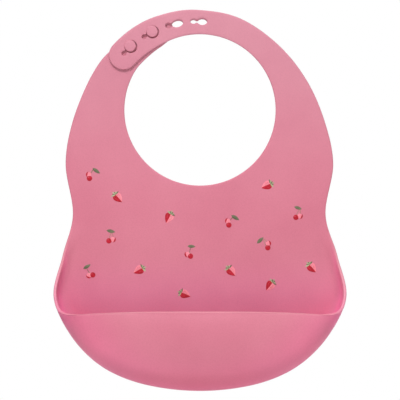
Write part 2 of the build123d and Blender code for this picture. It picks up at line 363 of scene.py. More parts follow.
right_x, left_x = side_at_cut(1), side_at_cut(-1)
upper_loop = joined(
    edge_run(RIGHT_CUT, math.degrees(math.atan2(CUT_Z, right_x)), 70),
    segment((right_x, CUT_Z), (left_x, CUT_Z), 3 * MM),
    edge_run(360 + math.degrees(math.atan2(CUT_Z, left_x)), LEFT_CUT, 84),
    radial_cut(LEFT_CUT, outline_reach, inward=True),
    arc_points(0, 0, NECK_R, LEFT_CUT, 360 + RIGHT_CUT),
    radial_cut(RIGHT_CUT, outline_reach),
)
upper_skin = plate(
    "upper_panel_skin",
    [upper_loop],
    cap_lines=[radial(RIGHT_CUT), radial(LEFT_CUT), ((0, CUT_Z), (1, 0))],
)

# ---------------------------------------------------------------- button strap
BUTTON_END = 116.0  # direction in which its round end begins


def button_inner(deg):
    """The button strap's inner edge stands a little into the neck opening under the tab."""
    return NECK_R - 1.1 * MM * smooth((deg - 114) / 8) * smooth((150 - deg) / 18)


outer_at = outline_reach(BUTTON_END)
end_centre = polar((outer_at + NECK_R) / 2, BUTTON_END)
button_loop = joined(
    edge_run(LEFT_CUT, BUTTON_END, 60),
    arc_points(*end_centre, (outer_at - NECK_R) / 2, BUTTON_END, BUTTON_END - 180, 0.8 * MM),
    [polar(button_inner(deg), deg) for deg in spread(BUTTON_END, LEFT_CUT, 44)],
    radial_cut(LEFT_CUT, outline_reach),
)
button_skin = plate("button_strap_skin", [button_loop], cap_lines=[radial(LEFT_CUT)])

# ---------------------------------------------------------------- keyhole strap
TAB_CX, TAB_CZ = -2.7 * MM, -9.1 * MM  # centre of the tab's arc
TAB_R, TAB_HALF = 77.4 * MM, 11.4 * MM  # radius of its middle line, and half its width
TAB_END = 137.8  # direction in which its round end begins
LEAVE_DEG = 112.0  # direction in which its inner edge leaves the neck circle
STRAP_T = 2.1 * MM
LAP_GAP = 0.3 * MM  # between the two straps
LAP_Y = -(SHEET + LAP_GAP + STRAP_T / 2)
RAMP_FROM, RAMP_TO = 34.0 * MM, -14.0 * MM  # X between which the strap steps forward to lap


def ramp(x, z):
    """Where the middle of the keyhole strap lies in Y."""
    t = smooth((RAMP_FROM - x) / (RAMP_FROM - RAMP_TO))
    flat_mid = -SHEET / 2
    return flat_mid + (LAP_Y - flat_mid) * t


def strap_outer(deg):
    """Outer edge of the keyhole strap: the bib's outline, which eases into the tab's own arc
    between 80 and 108 degrees and has a slight waist there."""
    own = outline_reach(deg)
    a = math.radians(deg)
    b = math.cos(a) * TAB_CX + math.sin(a) * TAB_CZ
    c = TAB_CX**2 + TAB_CZ**2 - (TAB_R + TAB_HALF) ** 2
    tab = b + math.sqrt(max(0.0, b * b - c))
    t = smooth((deg - 80.0) / 28.0)
    return own + (tab - own) * t - 0.8 * MM * math.exp(-(((deg - 108.0) / 10.0) ** 2))


def hermite(p0, t0, p1, t1, n):
    out = []
    for i in range(n + 1):
        s = i / n
        h = (2 * s**3 - 3 * s**2 + 1, s**3 - 2 * s**2 + s, -2 * s**3 + 3 * s**2, s**3 - s**2)
        out.append(tuple(h[0] * p0[k] + h[1] * t0[k] + h[2] * p1[k] + h[3] * t1[k] for k in (0, 1)))
    return out


cap_centre = polar(TAB_R, TAB_END, TAB_CX, TAB_CZ)
cap_out = polar(TAB_HALF, TAB_END, *cap_centre)
cap_in = polar(TAB_HALF, TAB_END + 180, *cap_centre)
out_deg = math.degrees(math.atan2(cap_out[1], cap_out[0]))
leave = polar(NECK_R, LEAVE_DEG)
span = math.dist(leave, cap_in)
in_run = hermite(leave, polar(span, LEAVE_DEG + 90), cap_in, polar(span, TAB_END + 90), 26)

KEY_R = 78.5 * MM  # the keyholes' round ends lie on this arc about the tab's centre
KEY_FIRST, KEY_PITCH = 131.3, 15.0  # direction of the first one, and the step to the next
KEY_PINCH = 1.15 * MM  # half the width between a keyhole's two ends
# in mm: the round end's half width and height, the narrow end's, their distance, and how far the
# whole hole is moved
KEYS = (
    (5.0, 5.0, 1.9, 1.9, 7.6, 0.33, -0.33),
    (5.0, 5.0, 1.9, 1.9, 7.6, 0.33, -0.33),
    (4.5, 2.9, 2.4, 2.3, 7.3, 0.4, 0.05),
    (3.8, 2.8, 2.5, 2.0, 6.9, -0.6, 0.3),
)


def keyhole(number):
    """The outline of one keyhole: a round end for the stud and a narrow end, pinched between."""
    wide, tall, small_w, small_h, far, dx, dz = (v * MM for v in KEYS[number])
    deg = KEY_FIRST - KEY_PITCH * number
    a_big = math.degrees(math.asin(min(1.0, (KEY_PINCH + 0.3 * MM) / tall)))
    a_small = math.degrees(math.asin(min(1.0, (KEY_PINCH + 0.15 * MM) / small_h)))
    local = []
    for i in range(37):
        a = math.radians(a_big + (360 - 2 * a_big) * i / 36)
        local.append((wide * math.cos(a), tall * math.sin(a)))
    neck_x = (local[-1][0] + (far - small_w * math.cos(math.radians(a_small)))) / 2
    local.append((neck_x, -KEY_PINCH))
    for i in range(15):
        a = math.radians(180 + a_small + (360 - 2 * a_small) * i / 14)
        local.append((far + small_w * math.cos(a), small_h * math.sin(a)))
    local.append((neck_x, KEY_PINCH))
    cx, cz = polar(KEY_R, deg, TAB_CX, TAB_CZ)
    turn = math.radians(deg + 90 + math.degrees(far / KEY_R) / 2)
    c, s = math.cos(turn), math.sin(turn)
    return [(cx + x * c - z * s + dx, cz + x * s + z * c + dz) for x, z in local]


ROOT_END, MIDDLE_END = 61.0, 98.3  # directions of the seams along the strap
root_loop = joined(
    edge_run(RIGHT_CUT, ROOT_END, 34, strap_outer),
    radial_cut(ROOT_END, strap_outer, inward=True),
    arc_points(0, 0, NECK_R, ROOT_END, RIGHT_CUT),
    radial_cut(RIGHT_CUT, strap_outer),
)
root_skin = plate(
    "strap_root_skin", [root_loop], mid=ramp, cap_lines=[radial(RIGHT_CUT), radial(ROOT_END)]
)
middle_loop = joined(
    edge_run(ROOT_END, MIDDLE_END, 34, strap_outer),
    radial_cut(MIDDLE_END, strap_outer, inward=True),
    arc_points(0, 0, NECK_R, MIDDLE_END, ROOT_END),
    radial_cut(ROOT_END, strap_outer),
)
middle_skin = plate(
    "strap_middle_skin",
    [middle_loop, keyhole(3)],
    mid=ramp,
    grid=2.2 * MM,
    drops=[0.0, 1.5 * MM],
    cap_lines=[radial(ROOT_END), radial(MIDDLE_END)],
)
tab_loop = joined(
    edge_run(MIDDLE_END, out_deg, 40, strap_outer),
    arc_points(*cap_centre, TAB_HALF, TAB_END, TAB_END + 180, 0.9 * MM),
    in_run[::-1],
    arc_points(0, 0, NECK_R, LEAVE_DEG, MIDDLE_END),
    radial_cut(MIDDLE_END, strap_outer),
)
tab_skin = plate(
    "strap_tab_skin",
    [tab_loop, keyhole(0), keyhole(1), keyhole(2)],
    mid=ramp,
    grid=2.2 * MM,
    drops=[0.0, 0.0, 0.0, 1.4 * MM],
    cap_lines=[radial(MIDDLE_END)],
)

# ---------------------------------------------------------------- lower panel and pocket, one skin
RIM_TOP = -86.0 * MM  # height where the side rims begin
CORNER_Z = -148.0 * MM  # height where they turn into the lip
LIP_Z = -158.0 * MM
RIM_H = 19.5 * MM  # how far forward a rim stands at the corner
CURL_R = 11.0 * MM  # radius between the back and the wall
FRONT_R = 15.0 * MM  # radius between the wall and the front
POLE_Z = -128.0 * MM  # the skin's rows run out from this height on the back
SEAM_DIRS, EDGE_DIRS = 70, 300  # directions along the seam above, and along the free edge
ROWS = 72


def rim_share(z):
    return min(1.0, max(0.0, (RIM_TOP - z) / (RIM_TOP - CORNER_Z)))


def rim_height(z):
    """How far the side edge stands forward of the back face at a height."""
    return RIM_H * rim_share(z) ** 1.6


def lip_line(x):
    """Height of the lip along the front: a little higher in the middle."""
    u = min(1.0, abs(x) / (0.86 * HIP_W))
    return LIP_Z + 1.1 * MM - 2.6 * MM * u**3


def lip_limit(x, z):
    """The pocket exists behind this depth: the side rims, then the lip across the front."""
    if z >= CORNER_Z:
        return max(rim_height(z), 1e-5)
    t = (CORNER_Z - z) / (CORNER_Z - lip_line(x))
    if t >= 1.0:
        return 1.0
    return RIM_H + (DEPTH - RIM_H) * (1 - math.sqrt(max(0.0, 1 - t * t))) ** 0.9


def back_and_curl(start, bend):
    """Flat out to start, then the curl forward through an angle."""
    pts = [(start * i / 40, 0.0) for i in range(1, 41)]
    for i in range(1, 17):
        b = bend * i / 16
        pts.append((start + CURL_R * math.sin(b), -CURL_R * (1 - math.cos(b))))
    return pts


def section_points(reach, z_out):
    """The outer surface in section, as distance from the pole and Y, out to the outline and,
    below the corners, on round the front to the middle."""
    pts = [(0.0, 0.0)]
    if z_out <= CORNER_Z:
        pts += back_and_curl(reach - CURL_R, math.pi / 2)
        wall_to = DEPTH - FRONT_R
        pts += [(reach, -(CURL_R + (wall_to - CURL_R) * i / 8)) for i in range(1, 9)]
        for i in range(1, 21):
            b = math.pi / 2 * i / 20
            pts.append((reach - FRONT_R * (1 - math.cos(b)), -wall_to - FRONT_R * math.sin(b)))
        inner = reach - FRONT_R
        return pts + [(inner * (1 - i / 80), -DEPTH) for i in range(1, 81)]
    h = rim_height(z_out)
    bend = math.pi / 2 * smooth(rim_share(z_out))
    if bend < 0.01:
        return pts + [(reach * i / 60, -h * (i / 60) ** 12) for i in range(1, 61)]
    wall = max(0.0, (h - CURL_R * (1 - math.cos(bend))) / math.sin(bend))
    pts += back_and_curl(reach - CURL_R * math.sin(bend) - wall * math.cos(bend), bend)
    x1, y1 = pts[-1]
    for i in range(1, 9):
        pts.append((x1 + wall * math.cos(bend) * i / 8, y1 - wall * math.sin(bend) * i / 8))
    return pts


def lip_crossing(q, p):
    """The point on the way from q to p where the surface reaches the lip."""
    lo, hi = 0.0, 1.0
    for _ in range(30):
        m = (lo + hi) / 2
        r = q + (p - q) * m
        if -r.y > lip_limit(r.x, r.z):
            hi = m
        else:
            lo = m
    return q + (p - q) * hi


def evenly(path, count):
    """count + 1 points at even distances along a path."""
    lengths = [0.0]
    for p, q in zip(path, path[1:]):
        lengths.append(lengths[-1] + (q - p).length)
    total = lengths[-1]
    out, k = [], 0
    for i in range(count + 1):
        want = total * i / count
        while k < len(path) - 2 and lengths[k + 1] < want:
            k += 1
        s = (want - lengths[k]) / max(1e-12, lengths[k + 1] - lengths[k])
        out.append(path[k] + (path[k + 1] - path[k]) * min(1.0, max(0.0, s)))
    return out


def generatrix(deg):
    """The outer surface in one direction, from the pole outward and round to the free edge."""
    a = math.radians(deg)
    dx, dz = math.cos(a), math.sin(a)
    reach = outline_reach(deg, POLE_Z)
    if dz > 0 and POLE_Z + reach * dz > CUT_Z:
        reach = (CUT_Z - POLE_Z) / dz
    z_out = POLE_Z + reach * dz
    path = []
    for rho, y in section_points(reach, z_out):
        p = Vector((rho * dx, y, POLE_Z + rho * dz))
        if z_out <= CORNER_Z and path and -y > RIM_H * 0.98 and -y > lip_limit(p.x, p.z):
            path.append(lip_crossing(path[-1], p))
            break
        path.append(p)
    return evenly(path, ROWS)


def shape_pocket(p):
    """The front wall swells below the lip, then falls back towards the bottom."""
    f = min(1.0, max(0.0, (-p.y - SHEET) / (DEPTH - SHEET)))
    low = min(1.0, max(0.0, (LIP_Z - p.z) / (LIP_Z - BOTTOM_Z)))
    u = min(1.0, abs(p.x) / HIP_W)
    swell = 3.6 * MM * f * math.sin(math.pi * min(1.0, low * 1.1) ** 0.85) * (1 - 0.7 * u * u)
    lean = 7.0 * MM * f * low**1.5
    drawn = 1.6 * MM * f * (1 - low) ** 3
    bow = 1.2 * MM * f * u * u
    return Vector((p.x, p.y - swell + lean + drawn + bow, p.z))


def edge_profile(bead):
    """The free edge in section, from the outer face round to the inner one: distance in from the
    tip, and offset from the sheet's middle. With a bead the edge swells to a full round."""
    half = SHEET / 2
    steps = 6
    r = half + 0.22 * MM * bead
    flat = EDGE_R * (1 - bead)
    out = [(EDGE_R * (1 - bead) + 2.6 * MM * bead, half)]
    for i in range(steps + 1):
        a = math.pi / 2 * i / steps
        square = (flat * (1 - math.sin(a)), half - flat * (1 - math.cos(a)))
        full = (r * (1 - math.sin(a)), r * math.cos(a))
        out.append(tuple(square[k] * (1 - bead) + full[k] * bead for k in (0, 1)))
    return out + [(d, -h) for d, h in reversed(out)]


def inner_normals(outer):
    """Unit normals of the outer surface, towards the inside, by direction and row."""
    normals = []
    for j, own in enumerate(outer):
        before, after = outer[j - 1], outer[(j + 1) % len(outer)]
        line = [Vector((0, -1, 0))]
        for i in range(1, ROWS + 1):
            v = (own[min(ROWS, i + 1)] - own[i - 1]).cross(after[i] - before[i])
            v.normalize()
            if v.dot(Vector((0, -1, 0))) < 0 and i < 5:
                v = -v
            if line[-1].dot(v) < 0:
                v = -v
            line.append(v)
        normals.append(line)
    return normals


def paint_edge_highlight(obj, rim):
    """The free edge's painted highlight, as an attribute that the material reads."""
    edges = [p.lerp(q, k / 8) for p, q in zip(rim, rim[1:]) for k in range(8)]
    tree = KDTree(len(edges))
    for i, p in enumerate(edges):
        tree.insert(p, i)
    tree.balance()
    painted_highlight = obj.data.attributes.new("painted_highlight", "FLOAT", "POINT")
    for v in obj.data.vertices:
        near = tree.find(v.co)[2]
        fade = 1 - smooth((near - 1.0 * MM) / (0.9 * MM))
        painted_highlight.data[v.index].value = smooth((RIM_TOP - v.co.z) / (40 * MM)) * fade


def pocket_skin():
    """Outer and inner surface of the lower panel and the pocket, and the free edge between."""
    corner = math.degrees(math.atan2(CUT_Z - POLE_Z, right_x))
    other = math.degrees(math.atan2(CUT_Z - POLE_Z, left_x))
    dirs = spread(corner, other, SEAM_DIRS)[:-1] + spread(other, 360 + corner, EDGE_DIRS)[:-1]
    outer = [[shape_pocket(p) for p in generatrix(d)] for d in dirs]
    normals = inner_normals(outer)
    inner = [[p + v * SHEET for p, v in zip(own, line)] for own, line in zip(outer, normals)]
    n = len(dirs)
    tips, profiles = [], []
    for j, own in enumerate(outer):
        if j <= SEAM_DIRS:
            # the seam's edge is flush, and only its two ends have a tip, to the sides
            tip = Vector(({0: 1, SEAM_DIRS: -1}.get(j, 0), 0, 0))
            bead = 0.0
        else:
            tip = (own[ROWS] - own[ROWS - 1]).normalized()
            bead = smooth((RIM_TOP - own[ROWS].z) / (30 * MM))
        tips.append(tip)
        profiles.append(edge_profile(bead))
    verts, faces = [], []
    for surface in (outer, inner):
        base = len(verts)
        verts.append(surface[0][0])
        for own, tip, profile in zip(surface, tips, profiles):
            verts += own[1:ROWS]
            verts.append(own[ROWS] - tip * profile[0][0])
        for j in range(n):
            a, b = base + 1 + j * ROWS, base + 1 + (j + 1) % n * ROWS
            faces.append((base, a, b))
            faces += [(a + i, a + i + 1, b + i + 1, b + i) for i in range(ROWS - 1)]
    rim = [own[ROWS] + line[ROWS] * (SHEET / 2) for own, line in zip(outer, normals)]
    for k in range(len(profiles[0])):
        base = len(verts)
        for j in range(n):
            d, h = profiles[j][k]
            verts.append(rim[j] - normals[j][ROWS] * h - tips[j] * d)
        if k:
            for j in range(n):
                m = (j + 1) % n
                faces.append((base - n + j, base - n + m, base + m, base + j))
    obj = mesh_object("lower_panel_and_pocket_skin", verts, faces)
    # painted highlight along the lip and the side rims
    paint_edge_highlight(obj, rim[SEAM_DIRS + 1 :])
    return obj


lower_skin = pocket_skin()

# ---------------------------------------------------------------- studs


def lathe(name, profile, x, z, sides=56):
    """A turned piece about a line along Y; the profile runs from the axis and back to it."""
    verts, faces = [], []
    for r, y in profile:
        for s in range(sides):
            a = 2 * math.pi * s / sides
            verts.append((x + r * math.cos(a), y, z + r * math.sin(a)))
    for k in range(len(profile) - 1):
        for s in range(sides):
            t = (s + 1) % sides
            a, b = k * sides, (k + 1) * sides
            faces.append((a + s, a + t, b + t, b + s))
    return mesh_object(name, verts, faces, 60.0)


studs = []
for node in ("stud_lower", "stud_upper"):
    lo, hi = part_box(node)
    r = (hi.x - lo.x) / 2
    stem, round_r = 0.56 * r, 0.8 * MM
    root, under = -SHEET + 0.3 * MM, -(SHEET + 0.8 * MM)
    top = lo.y
    side = top + 0.95 * MM
    shape = [(0.0, root), (stem, root), (stem, under + 0.2 * MM)]
    shape += [(0.6 * r, under), (r - 0.25 * MM, under), (r, under - 0.3 * MM), (r, side)]
    for k in range(1, 8):
        a = math.pi / 2 * k / 7
        shape.append((r - round_r + round_r * math.cos(a), side - round_r * math.sin(a)))
    shape += [(0.55 * r, top + 0.05 * MM), (0.3 * r, top + 0.01 * MM), (0.0, top)]
    studs.append(lathe(node + "_skin", shape, (lo.x + hi.x) / 2, (lo.z + hi.z) / 2))

# ---------------------------------------------------------------- printed fruit
INK = 0.08 * MM  # thickness of the film
SUNK = 0.02 * MM  # how far it reaches into the sheet
RISE = 0.03 * MM  # how much higher its middle stands than its edge


class Film:
    """Thin closed prisms of ink gathered into one mesh per colour."""

    def __init__(self):
        self.parts = {}

    def add(self, colour, loop, lift=0.0, dome=0.0):
        """A patch of ink inside a loop."""
        verts, faces = self.parts.setdefault(colour, ([], []))
        n = len(loop)
        cx = sum(p[0] for p in loop) / n
        cz = sum(p[1] for p in loop) / n
        y0 = -SHEET + SUNK
        y1 = -SHEET - INK - lift
        y2 = y1 - RISE - dome * 0.5
        base = len(verts)
        verts += [(x, y0, z) for x, z in loop]
        verts += [(x, y1, z) for x, z in loop]
        verts += [(cx + (x - cx) * 0.9, y2, cz + (z - cz) * 0.9) for x, z in loop]
        verts.append((cx, y1 - RISE - dome, cz))
        verts.append((cx, y0, cz))
        for i in range(n):
            j = (i + 1) % n
            faces.append((base + i, base + j, base + n + j, base + n + i))
            faces.append((base + n + i, base + n + j, base + 2 * n + j, base + 2 * n + i))
            faces.append((base + 2 * n + i, base + 2 * n + j, base + 3 * n))
            faces.append((base + j, base + i, base + 3 * n + 1))

    def add_strip(self, colour, left, right, lift=0.0):
        """A ribbon of ink between two paired edges."""
        verts, faces = self.parts.setdefault(colour, ([], []))
        y0, y1 = -SHEET + SUNK, -SHEET - INK - lift
        base = len(verts)
        for (ax, az), (bx, bz) in zip(left, right):
            verts += [(ax, y0, az), (ax, y1, az), (bx, y1, bz), (bx, y0, bz)]
        n = len(left)
        for i in range(n - 1):
            p, q = base + 4 * i, base + 4 * i + 4
            for k in range(4):
                m = (k + 1) % 4
                faces.append((p + k, p + m, q + m, q + k))
        last = base + 4 * n - 4
        faces.append((base + 3, base + 2, base + 1, base))
        faces.append((last, last + 1, last + 2, last + 3))


def placed(loop, x, z, turn, size=1.0):
    """A loop scaled, turned and moved to its place."""
    t = math.radians(turn)
    c, s = math.cos(t), math.sin(t)
    return [(x + size * (px * c - pz * s), z + size * (px * s + pz * c)) for px, pz in loop]


def ball(cx, cz, r, n=28):
    turns = [2 * math.pi * i / n for i in range(n)]
    return [(cx + r * math.cos(a), cz + r * math.sin(a)) for a in turns]


def crescent(cx, cz, r, a0, a1, thick, n=14):
    """The two edges of a shadow along one side of a round fruit."""
    turns = spread(a0, a1, n)
    inner = [r - thick * math.sin(math.pi * i / n) - 0.03 for i in range(n + 1)]
    near = [polar(v, t, cx, cz) for v, t in zip(inner, turns)]
    return [polar(r, t, cx, cz) for t in turns], near


def leaf_loop(x, z, turn, length, width, n=10):
    pts = []
    for i in range(n + 1):
        s = i / n
        pts.append((length * s, width / 2 * math.sin(math.pi * s) ** 0.8 * (1.15 - 0.3 * s)))
    pts += [(px, -pz) for px, pz in pts[n - 1 : 0 : -1]]
    return placed(pts, x, z, turn)


def stalk(points, w):
    """The two edges of a thin line, a little thicker at its end."""
    pts = [Vector(p) for p in points]
    left, right = [], []
    for i, p in enumerate(pts):
        t = (pts[min(len(pts) - 1, i + 1)] - pts[max(0, i - 1)]).normalized()
        nrm = Vector((-t.y, t.x)) * w / 2 * (0.85 + 0.4 * i / (len(pts) - 1))
        left.append(tuple(p + nrm))
        right.append(tuple(p - nrm))
    return left, right


def bow(p, q, sag, n=8):
    """A bent line from p to q; sag is how far it bends, as a share of its length."""
    d = (q[0] - p[0], q[1] - p[1])
    out = []
    for i in range(n + 1):
        s = i / n
        k = sag * 4 * s * (1 - s)
        out.append((p[0] + d[0] * s - d[1] * k, p[1] + d[1] * s + d[0] * k))
    return out


def motif(film, x, z, turn, flip=1, size=1.0):
    """Two ways to lay ink for one motif: a filled loop, or a ribbon between two edges."""

    def moved(loop):
        return placed([(px * flip * MM, pz * MM) for px, pz in loop], x * MM, z * MM, turn, size)

    def fill(colour, loop, lift=0.0, dome=0.0):
        film.add(colour, moved(loop[::-1] if flip < 0 else loop), lift * MM, dome * MM)

    def line(colour, edges, lift=0.0):
        film.add_strip(colour, moved(edges[0]), moved(edges[1]), lift * MM)

    return fill, line


def cherry(film, pale, full, knot, heel, tip, shade):
    """Two fruits on thin stalks under one leaf. All places are in mm; shade is where the pale
    fruit's red shadow starts and ends, in degrees."""
    fill, line = motif(film, 0, 0, 0)
    for fruit, sag in ((pale, -0.10), (full, 0.08)):
        line("stalk", stalk(bow(fruit, knot, sag), 0.34), 0.0)
    turn = math.degrees(math.atan2(tip[1] - heel[1], tip[0] - heel[0]))
    length = math.dist(tip, heel)
    fill("leaf", leaf_loop(heel[0], heel[1], turn, length * 1.06, 0.42 * length), 0.008, 0.03)
    near = [heel[k] + (tip[k] - heel[k]) * 0.12 for k in (0, 1)]
    far = [heel[k] + (tip[k] - heel[k]) * 0.82 for k in (0, 1)]
    line("vein", stalk(bow(near, far, 0.03), 0.2), 0.06)
    fill("pink", ball(pale[0], pale[1], 1.85), 0.004, 0.05)
    line("red", crescent(pale[0], pale[1], 2.35, shade[0], shade[1], 1.15), 0.09)
    fill("red", ball(full[0], full[1], 2.1), 0.012, 0.06)
    fill("shine", placed(ball(0, 0, 0.36, 12), full[0] - 0.75, full[1] + 0.8, 0), 0.075)


# a berry's crown: each leaf's direction in degrees, length and width in mm
CROWN = (
    (8, 3.3, 1.0),
    (36, 2.5, 1.1),
    (66, 2.2, 1.0),
    (96, 2.9, 1.0),
    (128, 2.2, 1.1),
    (158, 3.2, 1.1),
)


def berry(film, x, z, turn, flip=1, size=1.16):
    """A pointed fruit, one half red and one half pale, with seeds and a crown of leaves. Its tip
    points straight down before it is turned, and its red half lies on the left."""
    fill, line = motif(film, x, z, turn, flip, size)
    side = []
    for i in range(17):
        s = i / 16
        side.append((3.0 * math.sin(math.pi * s**0.58) ** 0.8, 2.4 - 7.2 * s))
    split = [(0.25 * math.sin(math.pi * i / 8), -4.8 + 7.2 * i / 8) for i in range(9)]
    fill("red", [(-px, pz) for px, pz in side] + split[1:-1], 0.004, 0.04)
    fill("pink", [(px, pz) for px, pz in side] + split[1:-1], 0.010, 0.04)
    for sx, sz in ((-1.7, 0.9), (-1.2, -0.9), (-1.6, -0.1)):
        fill("shine", placed(ball(0, 0, 0.17, 8), sx, sz, 0), 0.07)
    for sx, sz in ((1.5, 0.5), (1.1, -1.5), (0.7, 0.6), (1.6, -0.6)):
        fill("red", placed(ball(0, 0, 0.17, 8), sx, sz, 0), 0.07)
    for k, (a, length, width) in enumerate(CROWN):
        colour = "leaf_pale" if k % 2 else "leaf"
        fill(colour, leaf_loop(0.0, 1.9, a, length, width), 0.05 + 0.006 * k)


films = {}
for node in ("cherry_print_upper", "berry_print_upper", "cherry_print_lower", "berry_print_lower"):
    films[node] = Film()
# x and z of the pale fruit, the full fruit, the knot of the stalks and the leaf's two ends, in mm,
# then where the pale fruit's shadow starts and ends, in degrees
CHERRIES = {
    "cherry_print_upper": (
        (-87.1, -50.7, -86.7, -53.7, -83.7, -46.6, -84.2, -45.7, -78.8, -49.6, 100, 240),
        (22.0, -87.1, 22.6, -90.3, 25.9, -83.8, 24.6, -82.6, 30.4, -86.2, 90, 225),
        (78.3, -83.2, 75.2, -84.3, 78.5, -77.8, 73.9, -75.9, 79.5, -77.7, -85, 45),
    ),
    "cherry_print_lower": (
        (-68.4, -101.5, -71.4, -102.7, -69.2, -96.0, -73.3, -94.5, -66.9, -95.7, -85, 45),
        (-87.0, -129.7, -84.1, -129.4, -88.6, -125.0, -91.5, -124.7, -86.2, -121.4, 175, 320),
        (-9.8, -113.2, -7.5, -114.7, -7.4, -107.8, -9.8, -106.8, -3.9, -107.2, 125, 270),
        (53.4, -104.8, 53.2, -108.1, 49.8, -101.4, 44.7, -104.7, 49.5, -100.1, -60, 85),
    ),
}
for node, rows in CHERRIES.items():
    for row in rows:
        cherry(films[node], *zip(row[::2], row[1::2]))
# x and z in mm, turn in degrees, and -1 where the red half lies on the other side
BERRIES = {
    "berry_print_upper": ((-64.9, -68.2, 42), (-24.0, -83.7, -28), (53.2, -58.9, -66, -1)),
    "berry_print_lower": (
        (-47.2, -125.3, -62, -1),
        (-12.6, -144.2, 68),
        (24.0, -126.0, 42),
        (55.4, -137.1, -38),
        (87.2, -123.2, 42),
    ),
}
for node, rows in BERRIES.items():
    for row in rows:
        berry(films[node], *row)

# ---------------------------------------------------------------- materials


def new_material(name):
    mat = bpy.data.materials.new(name)
    mat.use_nodes = True
    tree = mat.node_tree
    return mat, tree, tree.nodes["Principled BSDF"]


def linear(r, g, b):
    """A screen colour, 0 to 255, as the linear colour that a material takes."""

    def one(v):
        v /= 255.0
        return v / 12.92 if v <= 0.04045 else ((v + 0.055) / 1.055) ** 2.4

    return (one(r), one(g), one(b), 1.0)


def noise(tree, coord, scale, detail=2.0, rough=0.5):
    n = tree.nodes.new("ShaderNodeTexNoise")
    n.inputs["Scale"].default_value = scale
    n.inputs["Detail"].default_value = detail
    n.inputs["Roughness"].default_value = rough
    tree.links.new(coord.outputs["Object"], n.inputs["Vector"])
    return n


def ramp_of(tree, source, stops):
    r = tree.nodes.new("ShaderNodeValToRGB")
    while len(r.color_ramp.elements) < len(stops):
        r.color_ramp.elements.new(0.5)
    for e, (at, colour) in zip(r.color_ramp.elements, stops):
        e.position = at
        e.color = colour
    tree.links.new(source, r.inputs["Fac"])
    return r


def level_of(tree, source, start, end):
    """A smooth step: 0 at start and before it, 1 at end and beyond."""
    level = tree.nodes.new("ShaderNodeMapRange")
    level.interpolation_type = "SMOOTHSTEP"
    level.inputs["From Min"].default_value = start
    level.inputs["From Max"].default_value = end
    tree.links.new(source, level.inputs["Value"])
    return level.outputs["Result"]


def product(tree, a, b):
    both = tree.nodes.new("ShaderNodeMath")
    both.operation = "MULTIPLY"
    tree.links.new(a, both.inputs[0])
    tree.links.new(b, both.inputs[1])
    return both.outputs["Value"]


def tinted(tree, colour, factor, tint):
    """Multiply a colour by a tint, as far as the factor says."""
    mix = tree.nodes.new("ShaderNodeMix")
    mix.data_type = "RGBA"
    mix.blend_type = "MULTIPLY"
    tree.links.new(factor, mix.inputs["Factor"])
    tree.links.new(colour, mix.inputs["A"])
    mix.inputs["B"].default_value = tint
    return mix.outputs["Result"]


def painted_light_tone(tree, coord, colour):
    """Painted light and shade: palest at the neck band, as from sheen of the light above, and
    deepest in colour in the pocket.
    """
    split = tree.nodes.new("ShaderNodeSeparateXYZ")
    tree.links.new(coord.outputs["Object"], split.inputs["Vector"])
    y, z = split.outputs["Y"], split.outputs["Z"]
    side = tree.nodes.new("ShaderNodeMath")
    side.operation = "ABSOLUTE"
    tree.links.new(split.outputs["X"], side.inputs[0])
    reach = tree.nodes.new("ShaderNodeVectorMath")
    reach.operation = "DISTANCE"
    reach.inputs[1].default_value = (0, -30 * MM, -108 * MM)
    tree.links.new(coord.outputs["Object"], reach.inputs[0])
    # painted highlight of the free edge, marked on the pocket's skin
    highlight_node = tree.nodes.new("ShaderNodeAttribute")
    highlight_node.attribute_name = "painted_highlight"

    def zone(*levels):
        """Where all the levels hold; each is a source with its start and end in mm."""
        total = None
        for source, start, end in levels:
            factor = level_of(tree, source, start * MM, end * MM)
            total = factor if total is None else product(tree, total, factor)
        return total

    face = (y, -0.4, -1.6)  # everywhere but on the back
    # painted sheen: paler from the pocket's height up to the neck band, where the light from above
    # falls
    colour = tinted(tree, colour, zone((z, -90, 80)), (0.94, 1.24, 1.15, 1))
    # painted bounced light: lighter, bluer pink behind the lip and inside the pocket, where shade
    # falls
    in_pocket = zone((z, -108, -160), (y, -30, -12), face)
    colour = tinted(tree, colour, in_pocket, (1.12, 1.06, 1.24, 1))
    # painted bounced light: redder, more saturated pink on the front round the pocket's lower outer
    # corners
    foot = zone((reach.outputs["Value"], 78, 116), (z, -140, -165), (y, -4, -14))
    colour = tinted(tree, colour, foot, (1.08, 0.90, 1.05, 1))
    # painted shade: darker towards the pocket's bottom, where the wall turns under away from the
    # light
    colour = tinted(tree, colour, zone((z, -198, -217)), (0.96, 0.86, 0.85, 1))
    # painted light: the lower corners of the pocket's front made lighter
    wide = zone((side.outputs["Value"], 60, 100), (z, -168, -190), face)
    colour = tinted(tree, colour, wide, (1.12, 1.08, 1.08, 1))
    # painted light: the inner side walls near the edge lighter and bluer pink, except under the
    # painted highlight
    wall = zone((side.outputs["Value"], 97, 106), (y, -2.2, -6), (z, -100, -120))
    wall = product(tree, wall, level_of(tree, highlight_node.outputs["Fac"], 0.5, 0.0))
    colour = tinted(tree, colour, wall, (1.18, 1.02, 1.18, 1))
    # painted highlight: the lip and the side rims paler where they catch the light from above
    return tinted(tree, colour, highlight_node.outputs["Fac"], (1.10, 1.42, 1.24, 1))


def bump(tree, coord, strength, distance, scale, detail, rough):
    node = tree.nodes.new("ShaderNodeBump")
    node.inputs["Strength"].default_value = strength
    node.inputs["Distance"].default_value = distance
    height = noise(tree, coord, scale, detail, rough).outputs["Fac"]
    tree.links.new(height, node.inputs["Height"])
    return node


